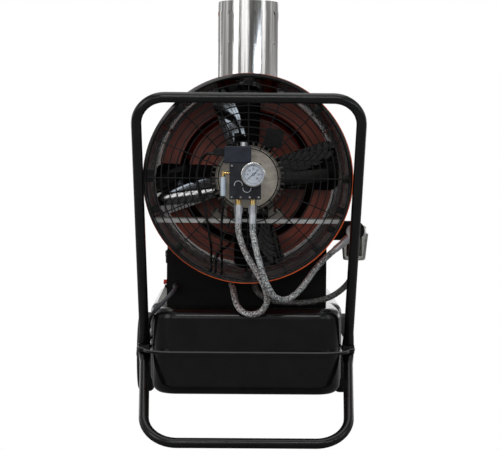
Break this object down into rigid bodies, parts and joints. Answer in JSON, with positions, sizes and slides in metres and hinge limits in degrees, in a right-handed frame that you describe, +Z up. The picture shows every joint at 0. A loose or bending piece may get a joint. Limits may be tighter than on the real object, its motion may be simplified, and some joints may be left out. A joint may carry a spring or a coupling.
{
  "type": "forced air heater",
  "caption": "Wheeled oil-fired air heater: orange drum with a guarded fan inlet, motor and fuel pump, flue stub, hoses to a filter, fuel tank and tube handle.",
  "frame": {"origin": "on the floor at the middle of the footprint, without the loose mains lead", "axes": "+Z up, +Y along the drum from the fan inlet to the warm air outlet, +X to the right as seen from the fan inlet"},
  "size_m": [0.6176, 1.141, 1.066],
  "materials": {
    "orange_paint": "glossy enamel",
    "gloss_black": "glossy enamel",
    "wire_black": "satin coating",
    "satin_black": "satin powder coat",
    "tube_black": "semi-gloss powder coat",
    "tank_black": "glossy powder coat",
    "furnace_paint": "heat-proof paint",
    "polished_flue": "polished stainless sheet",
    "burner_steel": "plain steel",
    "zinc_plate": "zinc plated",
    "motor_alloy": "cast and lightly bead blasted",
    "bolt_zinc": "zinc plated",
    "nut_steel": "nickel plated",
    "pump_black": "satin dark enamel",
    "coil_plastic": "moulded",
    "black_plastic": "moulded",
    "cable_black": "extruded sheath",
    "bezel_chrome": "polished",
    "dial_white": "printed scale",
    "clear_glass": "clear",
    "hand_black": "matte",
    "brass": "machined",
    "line_pale": "pale sleeve over a thin pipe",
    "braid_steel": "stainless wire braid with coloured tracer threads",
    "braid_dark": "dark braided cover",
    "head_alloy": "die cast",
    "smoky_bowl": "smoky translucent",
    "paper": "pleated paper",
    "knob_black": "moulded",
    "rocker_black": "moulded",
    "button_red": "moulded",
    "lid_grey": "moulded",
    "grey_enamel": "enamel",
    "axle_steel": "bright drawn bar",
    "tyre_rubber": "moulded rubber",
    "rim_paint": "enamel",
    "lead_rubber": "extruded sheath"
  },
  "bodies": {
    "frame": {"drum_shell": "orange_paint", "inlet_shroud": "gloss_black", "fan_guard": "wire_black", "outlet_nozzle": "satin_black", "flue_pipe": "polished_flue", "flue_collar": "orange_paint", "heat_exchanger": "furnace_paint", "combustion_chamber": "furnace_paint", "burner_head": "burner_steel", "burner_nozzle": "brass", "motor_shelf": "zinc_plate", "motor_end_bell": "motor_alloy", "motor_housing": "motor_alloy", "motor_terminal_box": "black_plastic", "pump_body": "pump_black", "pump_face_plate": "pump_black", "pump_screws": "bolt_zinc", "solenoid_coil": "coil_plastic", "coil_connector": "black_plastic", "gauge_case": "bezel_chrome", "gauge_dial": "dial_white", "gauge_lens": "clear_glass", "brass_fittings": "brass", "wiring_cables": "cable_black", "nozzle_line": "line_pale", "return_hose": "braid_steel", "suction_hose": "braid_steel", "tank_hose": "braid_dark", "steel_nuts": "nut_steel", "filter_bracket": "satin_black", "filter_head": "head_alloy", "filter_bowl": "smoky_bowl", "filter_element": "paper", "control_box": "satin_black", "front_saddle": "satin_black", "switch_panel": "satin_black", "cable_gland": "black_plastic", "ignition_transformer": "grey_enamel", "tank_upper": "tank_black", "tank_lower": "tank_black", "handle_tube": "tube_black", "stand_loop": "tube_black", "hex_bolts": "bolt_zinc", "axle": "axle_steel", "axle_brackets": "satin_black", "power_cord": "lead_rubber", "power_cord_coil": "lead_rubber", "power_plug": "lead_rubber"},
    "fan": {"fan_rotor": "gloss_black", "drive_shaft": "axle_steel"},
    "gauge_hand": {"gauge_pointer": "hand_black"},
    "thermostat": {"thermostat_knob": "knob_black"},
    "rocker": {"power_switch": "rocker_black"},
    "reset": {"reset_button": "button_red"},
    "filler": {"filler_cap": "black_plastic"},
    "lid": {"socket_lid": "lid_grey"},
    "left_wheel": {"left_tyre": "tyre_rubber", "left_rim": "rim_paint"},
    "right_wheel": {"right_tyre": "tyre_rubber", "right_rim": "rim_paint"}
  },
  "joints": [
    {"name": "left_wheel_spin", "type": "hinge", "parent": "frame", "child": "left_wheel", "pos_m": [-0.2795, 0.3605, 0.1125], "axis": [1, 0, 0], "continuous": true},
    {"name": "right_wheel_spin", "type": "hinge", "parent": "frame", "child": "right_wheel", "pos_m": [0.2795, 0.3605, 0.1125], "axis": [1, 0, 0], "continuous": true},
    {"name": "fan_spin", "type": "hinge", "parent": "frame", "child": "fan", "pos_m": [0, -0.2015, 0.623], "axis": [0, 1, 0], "continuous": true},
    {"name": "gauge_needle", "type": "hinge", "parent": "frame", "child": "gauge_hand", "pos_m": [0.011, -0.4905, 0.6336], "axis": [0, 1, 0], "range_deg": [0, 270], "stiffness_Nm_per_rad": 0.002},
    {"name": "thermostat_turn", "type": "hinge", "parent": "frame", "child": "thermostat", "pos_m": [-0.202, -0.0595, 0.414], "axis": [-1, 0, 0], "range_deg": [0, 270]},
    {"name": "switch_rock", "type": "hinge", "parent": "frame", "child": "rocker", "pos_m": [-0.199, -0.1245, 0.414], "axis": [0, 0, 1], "range_deg": [0, 20]},
    {"name": "reset_press", "type": "slide", "parent": "frame", "child": "reset", "axis": [1, 0, 0], "range_m": [0, 0.003], "stiffness_N_per_m": 250},
    {"name": "filler_turn", "type": "hinge", "parent": "frame", "child": "filler", "pos_m": [-0.165, 0.2185, 0.319], "axis": [0, 0, 1], "range_deg": [0, 90]},
    {"name": "lid_swing", "type": "hinge", "parent": "frame", "child": "lid", "pos_m": [-0.2005, -0.2005, 0.352], "axis": [0, 1, 0], "range_deg": [0, 80], "stiffness_Nm_per_rad": 0.02}
  ]
}
